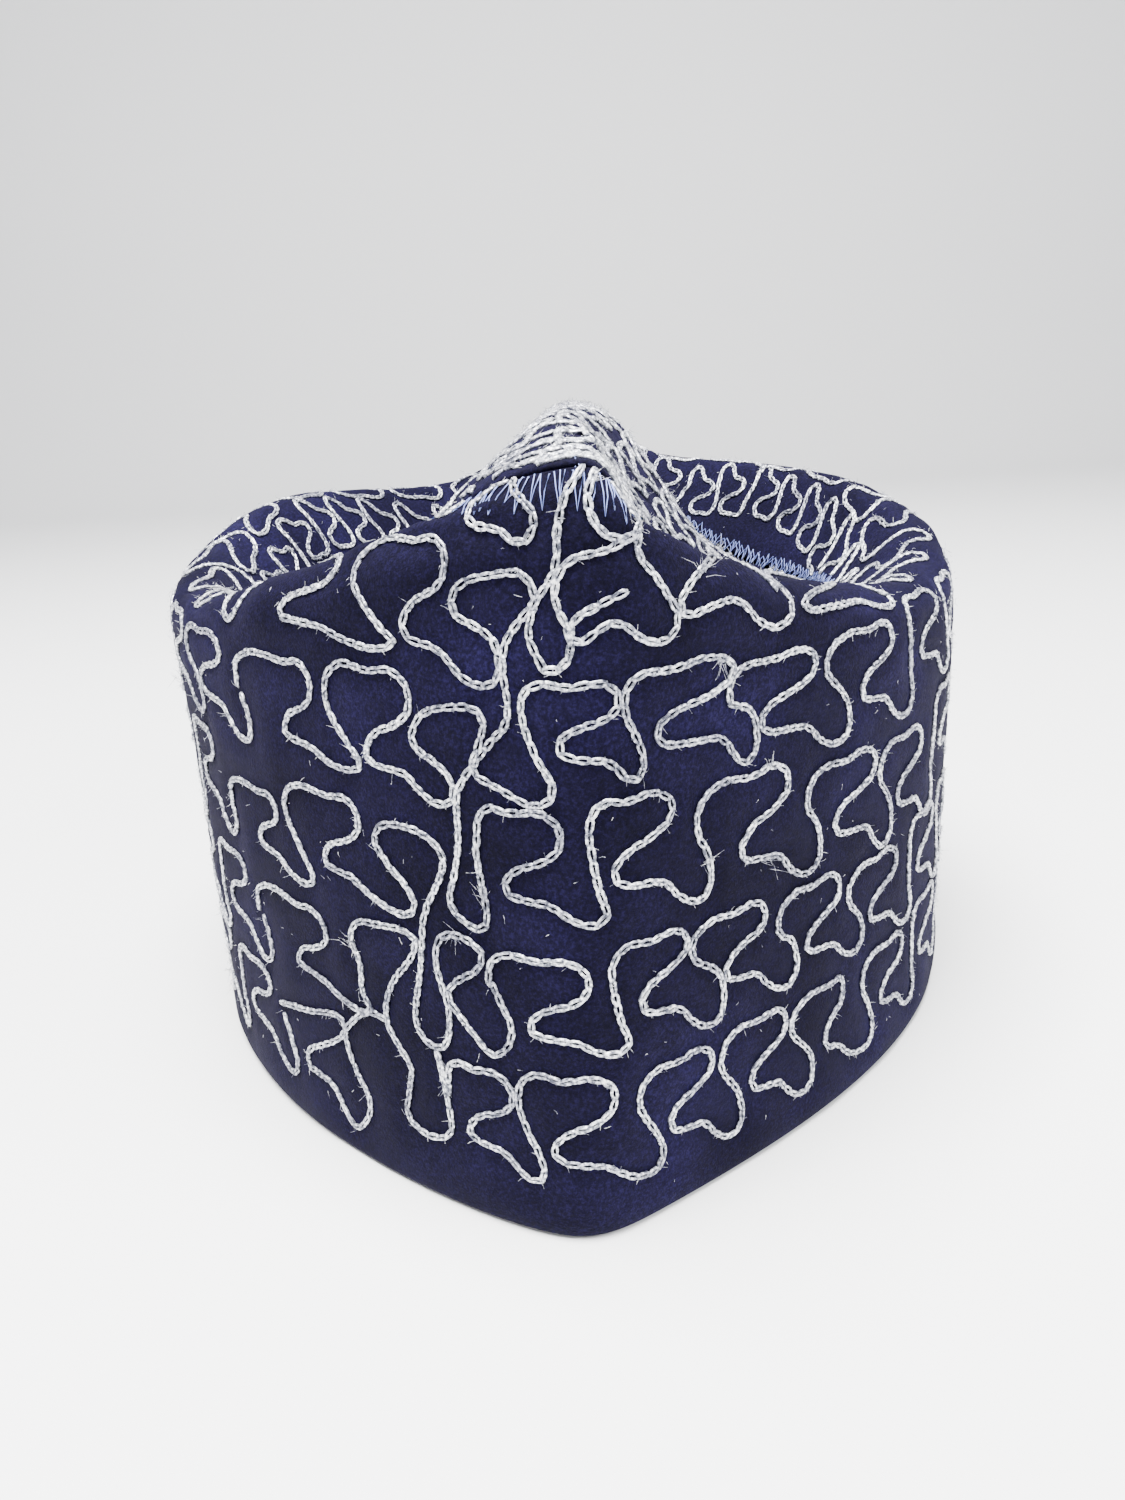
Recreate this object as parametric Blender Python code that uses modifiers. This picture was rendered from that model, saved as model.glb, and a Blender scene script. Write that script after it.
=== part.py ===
"""A velvet cap with a pointed oval plan, standing on its hem, front crease towards -Y.

Its upright band runs once round the head. Along each side the top of the band rolls over
a soft rim and folds down into the cap, and at the front and back creases it stands at
its full height. The crown is sewn edge to edge to the band: it starts low in the two side
valleys and rises to one rounded ridge that joins the front peak to the back peak.
"""

import math

import bmesh
import bpy
import numpy as np

# Driving sizes, in metres
CAP_LENGTH = 0.216          # front crease to back crease, at the hem
HALF_WIDTH_LEFT = 0.0835    # centre line to the left wall, halfway along
HALF_WIDTH_RIGHT = 0.0875   # centre line to the right wall, halfway along
BAND_HEIGHT = 0.125         # hem to seam, up the front crease
RIDGE_HEIGHT = 0.131        # hem level to the top of the ridge
VALLEY_HEIGHT = 0.087       # hem level to the seam, down in a side valley
ROLL_RADIUS = 0.0085        # roll of the rim, halfway along a side
FOLD_DEPTH = 0.026          # how far in from the wall the seam lies, halfway along a side
CREASE_SETBACK = 0.004      # how far back from a crease the top of the band leans
RIDGE_SETBACK = 0.024       # how far inside the creases the ridge line starts and ends
PEAK_LEAN = 0.007           # how far right of the hem's creases the peaks stand
RIDGE_LEAN = 0.005          # how far right of the crown's middle the ridge stands
CREASE_RADIUS = 0.013       # rounding of the front and back creases, in the plan
FLARE = 0.0025              # how far the rim of a wall may stand out beyond its hem
FLARE_POWER = 4             # a wall bends outwards mostly near its rim
LEAN_POWER = 1.3            # a peak leans more the higher it is
CLOTH = 0.0020              # velvet with its backing
SEAM_GAP = 0.0004           # between the edges of the band and the crown

# How full the plan is: 1 is an ellipse, and 2 has straighter sides and sharper creases
FULLNESS_LEFT = 1.58
FULLNESS_RIGHT = 1.85
CREASE_BLEND = 4            # how sharply a crease's rounding gives way to the sides
TANGENT_STEP = 0.02         # radians each way over which the wall's direction is taken

# Sections from the front crease (along 0) to the back crease (along 1).
# rim_*: height of the rim, as a share of BAND_HEIGHT
# fold_*: how far the band has folded in, from 0, upright, to 1, down in the valley
# flare_*: how far the rim stands out beyond the hem, as a share of FLARE
# ridge: height of the ridge line, as a share of RIDGE_HEIGHT
SECTION_COLUMNS = (
    "along", "rim_left", "rim_right", "fold_left", "fold_right", "flare_left", "flare_right", "ridge"
)
SECTIONS = (
    (0.00, 0.968, 0.968, 0.00, 0.00, 0.0, 0.0, 0.970),
    (0.05, 0.966, 0.942, 0.03, 0.06, 0.0, 0.0, 0.978),
    (0.10, 0.956, 0.912, 0.12, 0.24, 0.0, 0.0, 0.986),
    (0.20, 0.904, 0.850, 0.50, 0.70, 0.2, 0.0, 0.996),
    (0.30, 0.832, 0.785, 0.88, 0.98, 0.5, 0.0, 1.000),
    (0.40, 0.795, 0.775, 1.00, 1.00, 0.9, 0.1, 1.000),
    (0.50, 0.822, 0.818, 1.00, 1.00, 1.0, 0.2, 0.998),
    (0.60, 0.882, 0.868, 1.00, 1.00, 1.0, 0.5, 0.996),
    (0.70, 0.876, 0.892, 0.94, 0.92, 0.9, 0.6, 0.992),
    (0.80, 0.866, 0.905, 0.72, 0.66, 0.5, 0.4, 0.986),
    (0.90, 0.930, 0.960, 0.28, 0.24, 0.1, 0.1, 0.976),
    (1.00, 0.968, 0.968, 0.00, 0.00, 0.0, 0.0, 0.962),
)

# Rows up the upright wall, as shares of the height at which the roll starts
WALL_ROWS = (0.0, 0.22, 0.50, 0.78)

# Rows over the top of the band. Where it is folded, in and up are shares of ROLL_RADIUS,
# from the wall and from the rim; the last row is the seam, placed by FOLD_DEPTH and
# VALLEY_HEIGHT. Where it is upright, in is a share of CREASE_SETBACK, and up a share of
# the height between the rim row and the seam.
ROLL_COLUMNS = ("folded_in", "folded_up", "upright_in", "upright_up")
ROLL_ROWS = (
    (0.00, -1.05, 0.00, -3.0),
    (0.28, -0.30, 0.06, -1.4),
    (1.00, 0.00, 0.22, 0.0),
    (1.80, -0.42, 0.55, 0.5),
)

# Rows of the crown, from the seam to the ridge: how far across, then how far up, halfway
# along the cap and at the creases
CROWN_COLUMNS = ("across", "side_up", "crease_up")
CROWN_ROWS = (
    (0.16, 0.00, 0.33),
    (0.38, 0.12, 0.64),
    (0.60, 0.43, 0.85),
    (0.82, 0.87, 0.97),
    (1.00, 1.00, 1.00),
)

STATIONS = 20               # spans of the cage along each side
CAGE_ROUNDS = 12            # rounds in which the cage settles on its surface
SMOOTH_LEVEL = 1            # subdivision of the cage
HEM_FLATNESS = 0.0002       # the hem's edge is pressed flat below this height
THICKNESS_CLAMP = 0.8       # keeps the cloth's thickness below this many of its short edges

VELVET_BLUE = (0.018, 0.014, 0.105, 1.0)
VELVET_ROUGHNESS = 0.85


def clear_scene():
    """Remove every object that the file came with."""
    for obj in list(bpy.data.objects):
        bpy.data.objects.remove(obj)


def column(table, columns, name):
    """One named column of a table, as an array."""
    return np.array([row[columns.index(name)] for row in table])


def named_rows(table, columns):
    """The rows of a table, each with its values by name."""
    return [dict(zip(columns, row)) for row in table]


def section(name, along):
    """A column of SECTIONS at any place along, on a smooth curve through its rows."""
    places = column(SECTIONS, SECTION_COLUMNS, "along")
    values = column(SECTIONS, SECTION_COLUMNS, name)
    slopes = np.gradient(values, places)
    slopes[0] = 0.0
    slopes[-1] = 0.0
    i = int(np.clip(np.searchsorted(places, along) - 1, 0, len(places) - 2))
    span = places[i + 1] - places[i]
    u = (along - places[i]) / span
    start = (1 + 2 * u) * (1 - u) ** 2 * values[i] + u * (1 - u) ** 2 * span * slopes[i]
    end = u * u * (3 - 2 * u) * values[i + 1] + u * u * (u - 1) * span * slopes[i + 1]
    return start + end


def lerp(a, b, share):
    """The value a share of the way from a to b."""
    return a + (b - a) * share


def wall_point(along, side):
    """A point of the hem, and the direction in the plan that points into the cap there."""
    half_width = HALF_WIDTH_LEFT if side == "left" else HALF_WIDTH_RIGHT
    fullness = FULLNESS_LEFT if side == "left" else FULLNESS_RIGHT
    sign = -1 if side == "left" else 1
    angle = math.pi * along

    def at(a):
        straight = half_width * max(math.sin(a), 0.0) ** fullness
        from_crease = CAP_LENGTH / 2 * (1 - abs(math.cos(a)))
        rounded = math.sqrt(2 * CREASE_RADIUS * from_crease) * abs(math.cos(a))
        width = (straight ** CREASE_BLEND + rounded ** CREASE_BLEND) ** (1 / CREASE_BLEND)
        return np.array([sign * width, -CAP_LENGTH / 2 * math.cos(a)])

    if along in (0, 1):
        return at(angle), np.array([0.0, 1.0 if along == 0 else -1.0])
    tangent = at(min(angle + TANGENT_STEP, math.pi)) - at(max(angle - TANGENT_STEP, 0.0))
    inward = np.array([-sign * tangent[1], sign * tangent[0]])
    return at(angle), inward / np.linalg.norm(inward)


def leaned(point, height):
    """Lean a point in the plan to the right, most at the creases and the ridge."""
    ends = abs(point[1]) / (CAP_LENGTH / 2)
    share = min(ends, 1.0) ** 2 * (height / RIDGE_HEIGHT) ** LEAN_POWER
    return np.array([point[0] + PEAK_LEAN * share, point[1], height])


def band_rows(along, side):
    """The points of one station of the band, from the hem up to the seam."""
    hem, inward = wall_point(along, side)
    rim = section("rim_" + side, along) * BAND_HEIGHT
    fold = section("fold_" + side, along)
    above_rim = BAND_HEIGHT * (1 - section("rim_" + side, 0.0))
    offsets = []
    for roll in named_rows(ROLL_ROWS, ROLL_COLUMNS):
        inset = lerp(roll["upright_in"] * CREASE_SETBACK, roll["folded_in"] * ROLL_RADIUS, fold)
        rise = lerp(roll["upright_up"] * above_rim, roll["folded_up"] * ROLL_RADIUS, fold)
        offsets.append((inset, rim + rise))
    roll_start = offsets[0][1]
    offsets = [(0.0, share * roll_start) for share in WALL_ROWS] + offsets
    seam_height = lerp(rim + above_rim, VALLEY_HEIGHT, fold ** 2)
    offsets.append((lerp(CREASE_SETBACK, FOLD_DEPTH, fold), seam_height))
    flare = section("flare_" + side, along) * FLARE
    points = []
    for inset, height in offsets:
        outset = flare * (height / rim) ** FLARE_POWER
        points.append(leaned(hem + inward * (inset - outset), height))
    return points


def ridge_point(along):
    """A point of the ridge line, a little right of the middle of the crown."""
    middle = (band_rows(along, "left")[-1][0] + band_rows(along, "right")[-1][0]) / 2
    x = middle + RIDGE_LEAN * math.sin(math.pi * along)
    y = -(CAP_LENGTH / 2 - RIDGE_SETBACK) * math.cos(math.pi * along)
    return np.array([x, y, section("ridge", along) * RIDGE_HEIGHT])


def crown_rows(along, side):
    """The points of one station of the crown, from inside the seam to the ridge."""
    seam = band_rows(along, side)[-1]
    ridge = ridge_point(along)
    middle = math.sin(math.pi * along) ** 2
    points = []
    for row in named_rows(CROWN_ROWS, CROWN_COLUMNS):
        plan = lerp(seam[:2], ridge[:2], row["across"])
        height = lerp(seam[2], ridge[2], lerp(row["crease_up"], row["side_up"], middle))
        points.append(np.array([plan[0], plan[1], height]))
    return points


def station_list():
    """The stations once round the cap: down the left side, and back up the right."""
    left = [(i / STATIONS, "left") for i in range(STATIONS + 1)]
    right = [(i / STATIONS, "right") for i in range(STATIONS - 1, 0, -1)]
    return left + right


def cage_faces(rows):
    """Quads of the cage. The last row is the ridge line, where left and right meet.

    At each end of the ridge one quad closes the last ring across the crease.
    """
    count = 2 * STATIONS

    def index(row, station):
        station %= count
        if row == rows - 1 and station > STATIONS:
            station = count - station
        return row * count + station

    faces = []
    for row in range(rows - 1):
        for station in range(count):
            near = station
            far = station + 1
            beside_crease = near % STATIONS == 0 or far % STATIONS == 0
            if row == rows - 2 and beside_crease:
                continue
            faces.append((index(row, far), index(row, near), index(row + 1, near), index(row + 1, far)))
    last_ring = rows - 2
    for end, ridge_station in ((0, 1), (STATIONS, STATIONS - 1)):
        corners = (
            index(last_ring, end + 1),
            index(last_ring, end),
            index(last_ring, end - 1),
            index(rows - 1, ridge_station),
        )
        faces.append(corners)
    return faces


def build_cage():
    """The cage of the whole cap as one mesh, and the number of faces in its band."""
    columns = [band_rows(*s) + crown_rows(*s) for s in station_list()]
    targets = np.array(columns).transpose(1, 0, 2)
    rows = targets.shape[0]
    targets = targets.reshape(-1, 3)
    faces = cage_faces(rows)
    mesh = bpy.data.meshes.new("cap_cage")
    mesh.from_pydata([tuple(p) for p in targets], [], faces)
    band_faces = 2 * STATIONS * (len(WALL_ROWS) + len(ROLL_ROWS))
    bm = bmesh.new()
    bm.from_mesh(mesh)
    bm.faces.ensure_lookup_table()
    for face in bm.faces:
        face.material_index = 0 if face.index < band_faces else 1
    bmesh.ops.delete(bm, geom=[v for v in bm.verts if not v.link_faces], context="VERTS")
    settle_cage(bm)
    bm.to_mesh(mesh)
    bm.free()
    return mesh


def smooth_place(vert):
    """Where the subdivided surface of a cage of quads passes for one of its points."""
    rim_edges = [e for e in vert.link_edges if e.is_boundary]
    if rim_edges:
        ends = sum((e.other_vert(vert).co for e in rim_edges), vert.co * 4)
        return ends / 6
    count = len(vert.link_edges)
    total = vert.co * count * count
    for edge in vert.link_edges:
        total = total + edge.other_vert(vert).co * 4
    for face in vert.link_faces:
        for other in face.verts:
            if other is not vert and not any(vert in e.verts for e in other.link_edges):
                total = total + other.co
    return total / (count * (count + 5))


def settle_cage(bm):
    """Move the points of a cage until its smooth surface passes through their places.

    The two points at each end of the ridge, where three edges meet, stay as they are.
    """
    regular = [v for v in bm.verts if v.is_boundary or len(v.link_edges) == 4]
    wanted = [v.co.copy() for v in regular]
    for _ in range(CAGE_ROUNDS):
        places = [smooth_place(v) for v in regular]
        for vert, place, target in zip(regular, places, wanted):
            vert.co += target - place


def velvet(name):
    """A plain velvet material."""
    material = bpy.data.materials.new(name)
    material.use_nodes = True
    shader = material.node_tree.nodes["Principled BSDF"]
    shader.inputs["Base Color"].default_value = VELVET_BLUE
    shader.inputs["Roughness"].default_value = VELVET_ROUGHNESS
    shader.inputs["Metallic"].default_value = 0.0
    return material


def cap_shell(collection):
    """The whole cap in one closed cloth shell, before it is parted at the seam."""
    shell = bpy.data.objects.new("cap_shell", build_cage())
    collection.objects.link(shell)
    smooth = shell.modifiers.new("Smooth", "SUBSURF")
    smooth.levels = SMOOTH_LEVEL
    smooth.render_levels = SMOOTH_LEVEL
    cloth = shell.modifiers.new("Cloth", "SOLIDIFY")
    cloth.thickness = CLOTH
    cloth.offset = -1.0
    cloth.thickness_clamp = THICKNESS_CLAMP
    bpy.context.view_layer.update()
    depsgraph = bpy.context.evaluated_depsgraph_get()
    mesh = bpy.data.meshes.new_from_object(shell.evaluated_get(depsgraph))
    bpy.data.objects.remove(shell)
    for vert in mesh.vertices:
        if vert.co.z < HEM_FLATNESS:
            vert.co.z = 0.0
    return mesh


def part_at_seam(shell_mesh, kept_index, name):
    """One side of the seam as a closed body, its cut edge drawn back by half the gap."""
    bm = bmesh.new()
    bm.from_mesh(shell_mesh)
    other_side = [f for f in bm.faces if f.material_index != kept_index]
    bmesh.ops.delete(bm, geom=other_side, context="FACES")
    cut_edges = [e for e in bm.edges if e.is_boundary]
    cut_verts = {v for e in cut_edges for v in e.verts}
    moves = {}
    for vert in cut_verts:
        inner = [e.other_vert(vert) for e in vert.link_edges if not e.is_boundary]
        towards = (inner[0].co - vert.co).normalized()
        moves[vert] = towards * SEAM_GAP / 2
    for vert, move in moves.items():
        vert.co += move
    bmesh.ops.bridge_loops(bm, edges=cut_edges)
    bmesh.ops.recalc_face_normals(bm, faces=bm.faces[:])
    for face in bm.faces:
        face.material_index = 0
    mesh = bpy.data.meshes.new(name)
    bm.to_mesh(mesh)
    bm.free()
    return mesh


def centre_of_box(mesh):
    """The middle of a mesh's box in the plan."""
    points = np.array([tuple(v.co) for v in mesh.vertices])
    low = points.min(axis=0)
    high = points.max(axis=0)
    return (low + high)[:2] / 2


def main():
    """Build the cap: one collection with the band and the crown."""
    clear_scene()
    collection = bpy.data.collections.new("minister_cap")
    bpy.context.scene.collection.children.link(collection)
    shell_mesh = cap_shell(collection)
    centre = centre_of_box(shell_mesh)
    for kept_index, name in enumerate(("band", "crown")):
        mesh = part_at_seam(shell_mesh, kept_index, name)
        mesh.shade_smooth()
        mesh.materials.append(velvet(name + "_velvet"))
        obj = bpy.data.objects.new(name, mesh)
        obj.location = (-centre[0], -centre[1], 0.0)
        collection.objects.link(obj)
    bpy.data.meshes.remove(shell_mesh)


main()
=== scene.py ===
"""The looks of a velvet cap: fine velvet cloth, chain-stitched silver thread and a zigzag seam.

Two maps carry the stitches. The band's map gives the point at a distance round the hem from
the front crease, positive to the viewer's right, and a distance up the cloth from the hem.
The crown's map gives the point at a place along the cap, from front to back, and a distance
left of the ridge, over the cloth. Charts are in millimetres; everything else is in metres.
"""

import math

import bmesh
import bpy
import numpy as np
from mathutils import Matrix, Vector, noise
from mathutils.bvhtree import BVHTree
from mathutils.kdtree import KDTree


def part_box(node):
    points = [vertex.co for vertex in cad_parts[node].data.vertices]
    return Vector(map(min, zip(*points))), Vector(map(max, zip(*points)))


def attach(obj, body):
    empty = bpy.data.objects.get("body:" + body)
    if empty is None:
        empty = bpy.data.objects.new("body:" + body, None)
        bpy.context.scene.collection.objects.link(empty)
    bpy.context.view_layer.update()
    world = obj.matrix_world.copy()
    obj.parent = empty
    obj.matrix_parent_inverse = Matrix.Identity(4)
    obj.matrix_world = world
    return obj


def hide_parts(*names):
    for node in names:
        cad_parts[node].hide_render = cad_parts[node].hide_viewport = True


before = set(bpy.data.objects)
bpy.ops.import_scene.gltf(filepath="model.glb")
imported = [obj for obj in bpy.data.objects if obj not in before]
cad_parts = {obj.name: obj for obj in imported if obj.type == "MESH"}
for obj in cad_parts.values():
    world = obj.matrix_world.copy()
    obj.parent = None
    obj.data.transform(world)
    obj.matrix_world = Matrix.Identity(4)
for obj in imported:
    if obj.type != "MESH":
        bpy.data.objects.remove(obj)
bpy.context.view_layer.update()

MM = 0.001
SEED = 4127

# How the peaks lean to the right, as in the CAD
PEAK_LEAN = 0.007
LEAN_POWER = 1.3

# Maps of the cloth
HEM_RAYS = 1440             # rays that find the hem's outline
HEM_LEVEL = 0.002           # height at which they look for it
MAP_STEP = 0.001            # spacing of the maps' points
RAY_STEP = 0.0005           # spacing of the rays that look down on the cloth
TURN_LEVEL = 0.8            # a ray from the side stops where the cloth faces up this much
REACH = 0.3                 # how far off the rays start
CROWN_MARGIN = 0.002        # the crown's map stops this far inside its ends
RIDGE_SMOOTHING = 15        # columns over which the ridge line is evened
EDGE_MARGIN = 0.0012        # stitches stop this far inside the edge of the cloth

# Fine cloth
CLOTH_LEVEL = 2             # subdivision of the CAD's own faces
PRESS_DEPTH = 0.00050       # how far stitches press into the pile
PRESS_WIDTH = 0.0021        # half the width of the groove that they press
PUFF_HEIGHT = 0.00035       # rise of the cloth between stitches
PUFF_WIDTH = 0.007          # how far from a stitch it is full
RIPPLE_HEIGHT = 0.0005      # slow ripples of the cloth
RIPPLE_LENGTH = 0.026
HEM_FADE = 0.004            # the hem keeps its shape up to this height
SEAM_FADE = 0.007           # the seam is taut, and the cloth swells this far from it

# Chain stitch
SHORTEST_RUN = 8            # points of the shortest run that is sewn
LINK_LENGTH = 0.00225
LINK_WIDTH = 0.00048        # middle of the link to the middle of its strand
STRAND_RADIUS = 0.00027
LINK_POINTS = 9             # points round a link
STRAND_SIDES = 5
SECTORS = ("front", "front_right", "back_right", "back", "back_left", "front_left")

# Loose fibres, each length from the shortest to the longest
FIBRE_RADIUS = 0.000045
FIBRE_SIDES = 3
FUZZ_SHARE = 0.30           # share of the thread's points that have a fibre
FUZZ_LENGTH = (0.0004, 0.0013)
TUFT_COUNT = 44
TUFT_FIBRES = 12
TUFT_SPREAD = 0.0005
TUFT_LENGTH = (0.0010, 0.0034)
LINT_COUNT = 520
LINT_LENGTH = (0.0003, 0.0011)

# Zigzag seam
ZIGZAG_PITCH = 0.0018       # from one point of the zigzag to the next
ZIGZAG_REACH = 0.0023       # from the seam to the zigzag's points
PEAK_REACH = 0.0085         # the same on the band at the peaks, over its turned-in edge
PEAK_FROM = 0.112           # height of the seam above which the reach grows
PEAK_FULL = 0.120           # and at which it is full
ZIGZAG_RADIUS = 0.00009
ZIGZAG_LIFT = 0.00022       # how far above the pile it lies
ZIGZAG_POINTS = 5           # points along one leg of it; the last stands on the crown
ZIGZAG_SIDES = 4

# The motif of the embroidery: a hooked lobe, from its left shoulder round to its toe.
# across is a share of the motif's width, up a share of its height.
MOTIF = (
    (0.00, 0.70), (0.01, 0.90), (0.13, 1.00), (0.33, 0.97), (0.53, 1.00), (0.70, 0.92),
    (0.72, 0.77), (0.58, 0.67), (0.36, 0.60), (0.25, 0.48), (0.29, 0.35), (0.47, 0.31),
    (0.66, 0.27), (0.80, 0.10), (0.94, 0.00), (1.07, 0.02), (1.11, 0.18), (1.04, 0.42),
)

# Where the motif's own points stand, in its shares: shoulder, pocket, tip and toe across, and
# toe, pocket and top up. A row of FRONT_MOTIFS says where they are on the cloth.
MOTIF_ACROSS = (0.00, 0.25, 0.72, 1.00)
MOTIF_UP = (0.00, 0.48, 1.00)

# Motifs of the front: the row that each is sewn in, the places of its shoulder, pocket, tip
# and toe along the hem, and those of its top, pocket and toe up the cloth
FRONT_MOTIFS = (
    ("a", -75.0, -58.0, -45.5, -36.0, 115.0, 102.5, 98.5),
    ("a", -40.0, -30.0, -22.5, -16.0, 116.0, 103.0, 94.5),
    ("b", -73.0, -59.0, -51.0, -43.5, 94.5, 82.0, 77.5),
    ("b", -47.0, -39.0, -29.5, -24.0, 95.5, 81.5, 75.0),
    ("c", -83.0, -72.0, -64.5, -57.5, 68.5, 59.0, 53.5),
    ("c", -61.0, -51.0, -42.0, -33.0, 72.5, 60.5, 54.5),
    ("d", -77.0, -63.0, -53.0, -45.5, 49.0, 37.0, 32.5),
    ("e", -10.0, -4.5, 4.5, 7.5, 95.5, 86.5, 80.0),
    ("e", 5.5, 11.5, 27.0, 30.5, 96.0, 87.0, 77.5),
    ("e", 26.5, 34.0, 47.5, 55.5, 93.5, 84.0, 75.0),
    ("e", 51.0, 62.0, 72.0, 80.0, 93.5, 83.5, 74.0),
    ("f", -17.5, -13.0, -4.0, 1.5, 76.0, 63.5, 58.0),
    ("f", 0.5, 4.5, 15.0, 21.5, 77.5, 66.5, 57.0),
    ("f", 20.5, 30.5, 41.5, 49.0, 75.5, 63.5, 53.0),
    ("f", 47.5, 56.0, 68.5, 74.0, 71.5, 60.5, 50.0),
    ("f", 71.0, 79.0, 90.0, 97.0, 70.0, 59.0, 49.0),
    ("g", -16.0, -9.0, 0.5, 5.5, 52.0, 40.0, 35.0),
    ("g", 4.5, 10.0, 19.0, 25.5, 53.5, 43.5, 33.0),
    ("g", 20.5, 28.0, 37.0, 44.0, 52.5, 42.5, 33.0),
    ("g", 41.0, 49.0, 58.5, 65.0, 50.5, 39.5, 31.5),
    ("g", 62.0, 70.0, 80.0, 86.5, 48.5, 38.0, 29.0),
    ("h", -25.0, -21.0, -12.5, -8.5, 30.0, 17.5, 11.0),
    ("h", -11.0, -5.0, 5.0, 12.5, 31.5, 18.0, 10.0),
    ("h", 10.0, 16.5, 25.5, 31.0, 29.5, 18.5, 8.5),
    ("h", 28.0, 35.5, 44.0, 50.0, 29.5, 18.0, 8.5),
    ("h", 46.0, 56.0, 61.5, 71.0, 28.5, 17.5, 8.0),
    ("h", 69.0, 77.0, 86.0, 92.0, 28.0, 17.0, 8.0),
    ("i", 39.0, 45.0, 66.0, 74.0, 108.5, 100.5, 95.5),
)

# Runs of thread at the front that aren't motifs, each a short path of (along, up)
FREE_RUNS = {
    "wander": (
        (-1, 127), (-4, 122), (-5, 117), (-5, 112), (-8, 107), (-12, 102), (-13, 98), (-12, 90),
        (-15, 86), (-18, 82), (-21, 77), (-21, 70), (-22, 63), (-23, 60), (-22, 57), (-17, 55),
        (-16, 58), (-17, 63), (-18, 70),
    ),
    "peak_left": (
        (-21, 105), (-20, 109), (-15, 110.5), (-10, 111), (-8, 108), (-9, 103), (-8, 100),
        (-6, 97), (-3, 99), (-3, 103), (-5, 107), (-5, 110), (-3, 113), (2, 114), (8, 116),
    ),
    "peak_right": (
        (8, 116), (7, 113), (10, 110), (13, 106), (15, 103), (13.5, 100.5), (11, 100), (8, 101),
        (4, 104), (1, 103), (-2, 101), (-3, 103), (-2, 105), (2, 107), (7, 108.5),
    ),
    "peak_leaf": (
        (1, 127), (-1, 122), (0, 118), (3, 115.5), (8, 116), (7, 120), (4, 124), (1, 127),
    ),
    "heart": (
        (-8, 128), (-13, 127), (-14, 125), (-11, 121.5), (-8.5, 119), (-9, 116), (-11, 115),
        (-14, 117), (-18, 117.5), (-20, 120), (-18, 124), (-14, 127),
    ),
    "right_shoulder": (
        (46, 132), (38, 127), (34, 122), (32, 117), (29, 113), (24, 110.5), (18, 108), (15, 105),
        (17, 103), (25, 104), (29, 103), (33, 99.5), (37, 98), (41, 99), (42, 102), (40, 106),
        (37, 109), (38, 111),
    ),
    "left_bridge": (
        (-29, 84), (-28, 88), (-25, 90), (-18, 91), (-16, 89), (-17, 85), (-18, 81), (-13, 79),
        (-9, 77), (-6, 77.5), (-5, 80), (-8, 85), (-10, 90),
    ),
    "left_drop": (
        (-38, 65), (-37, 69), (-32, 70), (-27, 69), (-24, 66), (-25, 62), (-28, 56), (-29, 49),
        (-30, 42), (-31, 38), (-31, 34), (-28, 31.5), (-25, 32), (-24, 36), (-24, 40), (-26, 46),
        (-26, 50), (-24, 53), (-20, 53), (-17, 51), (-18, 48), (-22, 45), (-24, 42), (-22, 39),
        (-19, 36), (-16, 33), (-13, 35), (-12, 39), (-14, 43), (-16, 47),
    ),
    "left_arch": (
        (-44, 42), (-46, 46), (-44, 50), (-39, 51), (-33, 51.5), (-30, 50), (-32, 46), (-36, 41),
        (-38, 36), (-38, 32), (-35, 28), (-33, 25), (-34, 20), (-35, 15), (-32, 13), (-28, 13),
        (-25, 15), (-25, 19), (-26, 25), (-27, 31),
    ),
    "left_low": (
        (-72, 24), (-60, 27), (-53, 29), (-50, 28), (-51, 25), (-57, 21), (-62, 18), (-63, 14),
        (-60, 14), (-55, 13), (-53, 10), (-50, 6), (-48, 7), (-45, 11), (-45, 15), (-48, 20),
        (-50, 26), (-48, 29), (-43, 33), (-38, 33),
    ),
}

CHART_DROP = 0.7            # how much lower the front's runs lie than charted

# The order in which rows of motifs and free runs follow one another on one thread
SEWN_TOGETHER = (
    ("a", "peak_left", "peak_right"),
    ("b", "left_bridge", "e"),
    ("c", "left_drop", "g"),
    ("d", "left_arch", "h"),
    ("wander", "f"),
    ("right_shoulder", "i"),
    ("peak_leaf",),
    ("heart",),
    ("left_low",),
)

# Rows of motifs round the rest of the band: the front run that each follows on the right and
# the one that it reaches on the left, the height of its tops, and each motif's width and drop
ROUND_ROWS = (
    ("h", "left_low", 29.5, 22.0, 21.0),
    ("g", "d", 51.0, 22.5, 20.0),
    ("f", "c", 73.0, 23.0, 20.0),
    ("e", "b", 95.0, 23.5, 19.5),
    ("i", "a", 117.5, 22.0, 19.0),
    ("top_start", "top_end", 134.5, 13.0, 15.5),
)
TOP_ROW_ENDS = {"top_start": [(38, 130)], "top_end": [(-24, 130)]}

# Rows of motifs on the crown: how far left of the ridge their tops lie, and each motif's
# width and drop
CROWN_ROWS = (
    (84.0, 16.0, 13.0),
    (70.0, 16.0, 13.0),
    (56.0, 15.0, 13.0),
    (42.0, 15.0, 13.0),
    (28.0, 14.0, 12.5),
    (14.0, 14.0, 12.0),
    (1.0, 13.0, 11.5),
    (-11.5, 14.0, 12.0),
    (-25.0, 14.0, 12.5),
    (-39.0, 15.0, 13.0),
    (-53.0, 16.0, 13.0),
    (-67.0, 16.0, 13.0),
)

# Arches of thread across the crown's front end: how far behind the end the middle of each
# lies, and how far it reaches to each side
CROWN_ARCHES = (
    (1.5, 14.0),
    (4.5, 8.0),
    (8.0, 15.0),
    (13.0, 12.0),
    (18.5, 14.0),
    (24.5, 11.0),
)
ARCH_BEND = 0.035           # how much an arch's ends fall back, per millimetre to the side
MOTIF_PITCH = 0.95          # from one motif to the next in such a row, as a share of the width


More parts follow.
